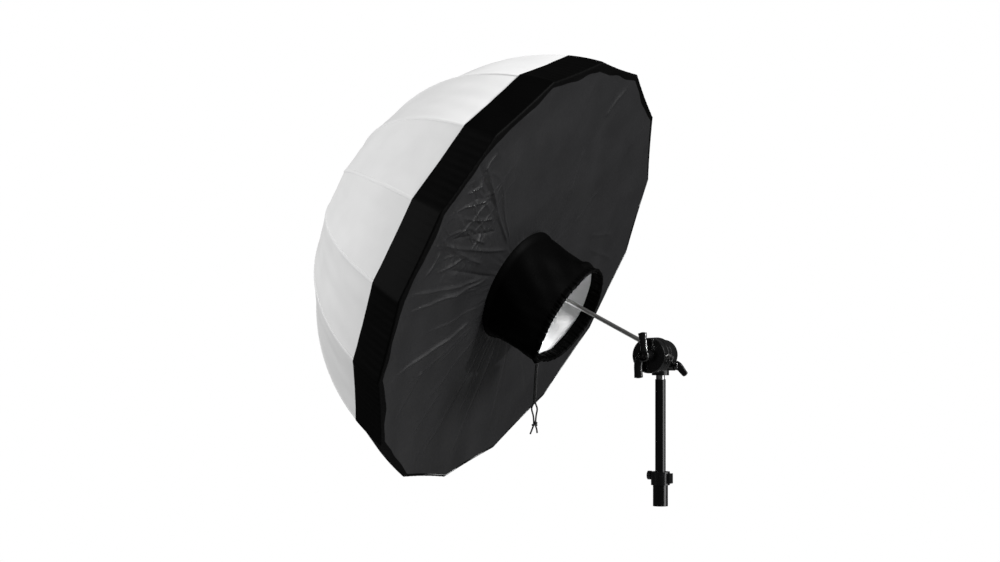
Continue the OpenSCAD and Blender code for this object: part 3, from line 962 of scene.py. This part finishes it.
def wedge_shape(centre):
    """One wedge's surface. u is -1 to 1 across it, v is 0 at the collar and 1 at the hem."""

    def shape(u, v):
        turn = centre + u * GORE / 2
        sink = 1 - sunk(u)
        start = base_radius(turn)
        edge_in, edge_depth = arc(EDGE_TURN, SKIRT_GAP - EDGE_R)
        across = np.clip(v / FACE_END, 0, 1)
        wander = np.sin(turn * 9 + 0.5) + 0.7 * np.sin(turn * 23) + 0.4 * np.sin(turn * 41 + 2)
        wrapped = smooth((across - 0.75) / (WRAP_AT - 0.75)) * smooth((1 - across) / (1 - WRAP_AT))
        bare = smooth(0.5 + 0.9 * np.cos(turn - BARE_TURN))
        shift = 2.4 * wander * (1 - bare) + 8 * bare
        face_r = start + (edge_in - start) * across + shift * MM * wrapped
        lip = np.clip((v - FACE_END) / (EDGE_END - FACE_END), 0, 1) * (math.pi / 2 + EDGE_TURN)
        back = np.clip((v - EDGE_END) / (1 - EDGE_END), 0, 1)
        skirt_r, skirt_depth = arc(EDGE_TURN + (HEM_TURN - EDGE_TURN) * back, SKIRT_GAP)
        radius = np.where(v < FACE_END, face_r, edge_in + EDGE_R * np.sin(lip))
        depth = np.where(v < FACE_END, FACE_DEPTH, edge_depth + EDGE_R * np.cos(lip))
        radius = np.where(v > EDGE_END, skirt_r, radius)
        depth = np.where(v > EDGE_END, skirt_depth, depth)
        rim = smooth((across - 0.55) / 0.45)
        radius = radius * (1 - (1 - sink) * rim)
        down, side = radius * np.cos(turn), radius * np.sin(turn)
        still = smooth((1 - across) / 0.06) * smooth(across / 0.03)
        relief = (crease_height(down, side) + crumple(down, side) + waves(down, side)) * still
        relief = relief + gathers(turn, radius) * smooth(across / 0.02) * still
        relief = relief - 4 * MM * (1 - (1 - np.abs(u)) ** 2) * rim * (1 - across) * 4
        girth = turn * RIM_R
        pucker = np.sin(girth / SEAM_PUCKER * 6.2832) + 0.5 * np.sin(girth / SEAM_PUCKER * 3.7 + 1)
        lift = 0.2 * MM * (1.5 + pucker) * smooth(lip) * (1 - 0.8 * back)
        ripple = np.sin(girth / (64 * MM) * 6.2832 + 3 * np.sin(turn * 5)) * np.sin(turn * 7 + 3 * back)
        ruche = 0.35 * MM * (1 + ripple) * back
        grow = 1 + (lift + ruche) / RIM_R
        return turned(radius * grow, turn, depth + relief)

    return shape


def panel_wedge(name):
    """One wedge of the panel, on the back panel's body."""
    centre = TURNS[RIB_NAMES.index(name)]
    face_rows = np.linspace(0, FACE_END, 150)
    edge_rows = np.linspace(FACE_END, EDGE_END, 10)[1:]
    skirt_rows = np.linspace(EDGE_END, 1, 24)[1:]
    v = np.concatenate([face_rows, edge_rows, skirt_rows])
    piece = cloth_shell(
        f"panel_{name[-2:]}",
        wedge_shape(centre),
        np.linspace(-1, 1, 45),
        v,
        PANEL_CLOTH,
        # the third finish, from the corner on, is the darker copy that paints the shade on the edge and
        # skirt
        [black_polyester, white_lining, skirt_painted_shade_polyester],
        flip=True,
        change_row=int(np.searchsorted(face_rows, FACE_END * WRAP_AT)),
    )
    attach(piece, "back_panel")
    seam_at = turned(np.array(BASE_R), np.array(centre), np.array(FACE_DEPTH))
    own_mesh(piece)
    return piece


panel = [panel_wedge(name) for name in RIB_NAMES]
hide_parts("panel_face", "panel_skirt")

# %% [markdown]
# ## The collar
# The collar is a soft sleeve sewn to the panel, through which the shaft and a flash head's light
# go. A drawcord pulls its mouth in, so the near wall lies flat and the lowest point is drawn down
# to the cord. The mouth's outline is a radius for each turn, listed and smoothed.

# %% Collar sleeve
MOUTH = [
    (-180, 95), (-155, 75), (-110, 67), (-70, 77), (-50, 92), (-38, 108), (-22, 86),
    (10, 80), (40, 81), (65, 84), (85, 93), (105, 99), (145, 107), (165, 104),
]


def mouth_radius(turn):
    """The mouth's radius at a turn: the chosen outline, averaged over 12 degrees each way."""
    angles, radii = np.array(MOUTH).T
    taps = np.linspace(-8, 8, 9)
    weights = np.cos(taps / 9 * math.pi / 2)
    degrees = np.degrees(turn)[..., None] + taps
    return (np.interp(degrees, angles, radii, period=360) * weights).sum(-1) / weights.sum() * MM


def sleeve(turn, along, out=0.0):
    """The collar's wall: from the seam's ring (along 0) to the mouth (along 1), with folds."""
    base_down = BASE_DROP + BASE_R * np.cos(turn)
    base_side = BASE_R * np.sin(turn)
    reach = mouth_radius(turn)
    mouth_down = MOUTH_DROP + reach * np.cos(turn)
    mouth_side = reach * np.sin(turn)
    blend = along + 0.06 * np.sin(math.pi * along) * np.cos(turn + math.pi)
    down = base_down + (mouth_down - base_down) * blend
    side = base_side + (mouth_side - base_side) * blend
    middle = np.sin(math.pi * np.clip(along, 0, 1))
    top = smooth((-np.cos(turn) - 0.3) / 0.7)
    near = smooth((-np.sin(turn) - 0.2) / 0.8)
    puff = -1 * MM * middle * top + 5 * MM * middle * near
    diagonal = np.sin(7 * turn + 5 * along) + 0.6 * np.sin(11 * turn - 7 * along + 2)
    pull = np.exp(-((np.degrees(turn) + 38) / 40) ** 2)
    folds = 1.5 * MM * diagonal * middle + 1.6 * MM * pull * along * np.sin(26 * turn + 3 * along)
    fold_place = ((along - 0.82) / 0.08) ** 2 + ((np.degrees(turn) - 165) / 24) ** 2
    fold_top = 5 * MM * np.exp(-fold_place)
    push = puff + folds + fold_top + out
    depth = FACE_DEPTH + (MOUTH_DEPTH - FACE_DEPTH) * along
    return dish(down + push * np.cos(turn), side + push * np.sin(turn), depth)


def collar_shape(u, v):
    """The sleeve over one whole turn: u is the turn, v goes from the seam to the mouth."""
    seat = 3 * MM * (1 - smooth(v / 0.12))
    return sleeve(u, v, seat)


AROUND = np.linspace(-math.pi, math.pi, 289)[:-1]
collar = cloth_shell(
    "collar_sleeve",
    collar_shape,
    AROUND,
    np.linspace(0, 1, 64),
    0.9 * MM,
    [collar_twill, white_lining],
    wrap=True,
)
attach(collar, "back_panel")
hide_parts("collar")

# %% [markdown]
# ## The collar's hem
# The mouth ends in a black band folded over the edge. It holds the drawcord in a tunnel, so the
# band is a soft roll at the edge with a flat tail inside, and it ruffles where the cord gathers it.

# %% Hem band
BAND_IN = 22 * MM
BAND_OUT = 10 * MM
ROLL_R = 3 * MM


def hem_shape(u, v):
    """v runs along the band's section: the outer lap, round the rolled edge, the inner lap."""
    outer = smooth(v / 0.3)
    roll = np.clip((v - 0.3) / 0.25, 0, 1) * math.pi
    inner = np.clip((v - 0.55) / 0.45, 0, 1)
    length = MOUTH_DEPTH - FACE_DEPTH
    back = (1 - np.clip(v / 0.3, 0, 1)) * BAND_OUT + inner * BAND_IN
    ahead = ROLL_R * np.sin(roll)
    out = 0.6 * MM + (ROLL_R - 0.6 * MM) * outer * (1 - inner)
    out = np.where(v > 0.3, -0.5 * MM + ROLL_R * np.cos(roll) - 1.2 * MM * inner, out - 0.5 * MM)
    ruffle = 1.1 * MM * (np.sin(41 * u) + 0.8 * np.sin(67 * u + 2) + 0.5 * np.sin(97 * u + 1))
    amount = np.sin(math.pi * np.clip(v, 0, 1)) * (0.5 + 0.5 * smooth((-np.sin(u) + 0.4) / 1.2))
    return sleeve(u, 1 + (ahead - back) / length, out + ruffle * amount)


hem = cloth_shell(
    "collar_hem_band",
    hem_shape,
    np.linspace(-math.pi, math.pi, 481)[:-1],
    np.linspace(0, 1, 28),
    0.8 * MM,
    [collar_twill, collar_twill],
    wrap=True,
)
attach(hem, "back_panel")
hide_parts("collar_hem")
print("hem band", round((BAND_IN + BAND_OUT) * 1000), "mm wide")

# %% [markdown]
# ## The cast handles
# The grip head is tightened by a cast T-handle with one arm straight up and one that bends aside
# and down, and its socket is locked by a short wing lever. Both are bars with a rounded-box
# section swept along a curve, and wider towards their ends, as a hand needs.

# %% T-handle and lever
HEAD_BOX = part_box("head_bolt")
HEAD_Z = (HEAD_BOX[0].z + HEAD_BOX[1].z) / 2
BOSS_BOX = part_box("t_handle")
ARM_Y = BOSS_BOX[0].y + 8 * MM


def arm(name, points, wide, thick):
    """One arm of a handle, through points in the X-Z plane, given in mm from the head's axis."""
    path = smooth_route([(x * MM, ARM_Y, HEAD_Z + z * MM) for x, z in points], 8)
    share = np.linspace(0, 1, len(path))
    width = np.interp(share, np.linspace(0, 1, len(wide)), wide) * MM
    depth = np.interp(share, np.linspace(0, 1, len(thick)), thick) * MM
    closing = np.sqrt(smooth((1 - share) / 0.03) * 0.96 + 0.04)
    return swept(name, path, width * closing, depth * closing, 32, cast_enamel, power=2.6)


def boss(name, centre, axis, profile, material):
    """A turned boss: (distance, radius) pairs in mm along an axis, spun and capped."""
    distance, radius = np.array(profile, float).T * MM
    path = np.array(centre) + np.outer(distance, axis)
    return swept(name, path, radius, radius, 64, material)


upper = arm(
    "t_handle_upper_arm",
    [(0, 0), (-2, 14), (-3.5, 30), (-5, 42)],
    [7.5, 6.8, 7, 8],
    [6, 5.5, 5.5, 6],
)
lower = arm(
    "t_handle_lower_arm",
    [(2, 0), (-5, -2), (-11, -8), (-13, -18), (-12.5, -30), (-12, -40)],
    [7.5, 7.5, 7.5, 7.5, 7.5, 8],
    [6, 5.5, 5.5, 5.5, 5.5, 6],
)
hub = boss(
    "t_handle_boss",
    (0, BOSS_BOX[0].y, HEAD_Z),
    (0, 1, 0),
    [(0, 0.5), (0, 8), (0.8, 9.4), (2.5, 10), (18, 11), (20.5, 11), (21.6, 10.2), (21.9, 9),
     (21.9, 0.5)],
    cast_enamel,
)
for part in (upper, lower, hub):
    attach(part, "t_handle")
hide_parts("t_handle")

LOCK_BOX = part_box("receiver_lock")
LOCK_Z = LOCK_BOX[1].z - 8 * MM
LEVER = [(30, 2), (34.5, 0), (39.5, -5), (44.5, -11), (50, -17)]
lever_path = smooth_route([(x * MM, 0, LOCK_Z + z * MM) for x, z in LEVER], 8)
lever_share = np.linspace(0, 1, len(lever_path))
lever_round = np.sqrt(smooth((1 - lever_share) / 0.06) * 0.96 + 0.04)
lever = swept(
    "receiver_lock_lever",
    lever_path,
    np.interp(lever_share, [0, 0.4, 1], [7.5, 6.8, 5.2]) * MM * lever_round,
    np.interp(lever_share, [0, 0.4, 1], [6.5, 4.2, 3.2]) * MM * lever_round,
    32,
    cast_enamel,
    power=2.8,
)
lever_hub = boss(
    "receiver_lock_boss",
    (0, 0, LOCK_Z),
    (1, 0, 0),
    [(8.2, 0.3), (8.2, 4), (27.8, 4), (27.9, 7.2), (28.8, 8), (34, 8), (35.1, 7.2), (35.5, 6),
     (35.5, 0.3)],
    cast_enamel,
)
for part in (lever, lever_hub):
    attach(part, "receiver_lock")
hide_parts("receiver_lock")
print("handle spans", round((BOSS_BOX[1].z - BOSS_BOX[0].z) * 1000), "mm")

# %% [markdown]
# ## The studio
# A white world stands behind the set and gives a fill that is weak from below, so that the
# panel darkens towards its lower edge. A soft key at the front right shapes the creases, a soft box
# at the left lights the canopy, a near panel of light gives the riser its long highlight, and a
# narrow beam lights the lining inside the collar.

# %% Floor, world and lights
FLOOR_Z = -0.45
FLOOR_R = 1.1


def stage_floor():
    """A flat disc of grey card below the lowest pose of the umbrella."""
    turn = np.linspace(0, 2 * math.pi, 97)[:-1]
    ring = np.stack([FLOOR_R * np.cos(turn), FLOOR_R * np.sin(turn), np.full(96, FLOOR_Z)], axis=-1)
    material, tree, output = new_finish("grey_card_floor")
    place = add(tree, "ShaderNodeTexCoord").outputs["Object"]
    cloud = add(tree, "ShaderNodeTexNoise", {"Vector": place, "Scale": 3.0})
    colour = ramp(tree, cloud.outputs["Fac"], [(0.3, "#787878"), (0.7, "#808080")])
    shader = add(tree, "ShaderNodeBsdfPrincipled", {"Base Color": colour, "Roughness": 0.9})
    tree.links.new(shader.outputs[0], output.inputs["Surface"])
    made = build("floor", ring, np.arange(96)[None], [material])


def soft_light(name, place, target, width, height, watts):
    """A rectangular soft box at a place, aimed at a target."""
    data = bpy.data.lights.new(name, "AREA")
    data.shape = "RECTANGLE"
    data.size = width
    data.size_y = height
    data.energy = watts
    made = bpy.data.objects.new(name, data)
    made.location = place
    made.rotation_euler = (Vector(target) - Vector(place)).to_track_quat("-Z", "Y").to_euler()
    made.visible_camera = False
    bpy.context.scene.collection.objects.link(made)


def snoot(target, offset, cone, watts):
    """A narrow round beam from an offset, aimed at a target: it only lights the collar's lining."""
    data = bpy.data.lights.new("snoot", "SPOT")
    data.energy = watts
    data.spot_size = cone
    data.spot_blend = 0.6
    data.shadow_soft_size = 0.05
    made = bpy.data.objects.new("snoot", data)
    made.location = Vector(target + offset)
    made.rotation_euler = Vector(-offset).to_track_quat("-Z", "Y").to_euler()
    bpy.context.scene.collection.objects.link(made)


def white_world(seen, soft_above, soft_below, mirrored):
    """A white backdrop to look at, a fill that is dimmer from below, and dark reflections."""
    world = bpy.data.worlds.new("white_tent")
    world.use_nodes = True
    tree = world.node_tree
    ray = add(tree, "ShaderNodeLightPath").outputs
    around = add(tree, "ShaderNodeTexCoord").outputs["Generated"]
    way = add(tree, "ShaderNodeSeparateXYZ", {"Vector": around})
    soft = add(
        tree,
        "ShaderNodeMapRange",
        {"Value": way.outputs["Z"], "From Min": -0.6, "To Min": soft_below, "To Max": soft_above},
    )
    fill = add(
        tree,
        "ShaderNodeMapRange",
        {"Value": ray["Is Glossy Ray"], "To Min": soft.outputs["Result"], "To Max": mirrored},
    )
    strength = add(
        tree,
        "ShaderNodeMapRange",
        {"Value": ray["Is Camera Ray"], "To Min": fill.outputs["Result"], "To Max": seen},
    )
    background = tree.nodes["Background"]
    background.inputs["Color"].default_value = (1, 1, 1, 1)
    tree.links.new(strength.outputs["Result"], background.inputs["Strength"])
    bpy.context.scene.world = world


stage_floor()
MOUTH_AT = dish(np.array(MOUTH_DROP), np.array(0.0), np.array(MOUTH_DEPTH))
white_world(seen=1.0, soft_above=0.62, soft_below=0.1, mirrored=0.05)
bpy.context.scene.view_settings.view_transform = "Standard"
soft_light("key", (2.7, 0.0, 1.9), RIM_CENTRE, 0.9, 0.9, 125)
soft_light("front_left", (-3.2, -2.8, 1.8), RIM_CENTRE, 2.0, 2.0, 98)
soft_light("strip", (1.1, 0.2, 0.12), (0, 0, 0.12), 0.8, 0.9, 6)
snoot(MOUTH_AT, 2.6 * view_right + 1.5 * view_back + 0.5 * ABOVE, math.radians(3.2), 700)

# %% [markdown]
# ## The finish

# %% Finish
print("looks built on the frame")
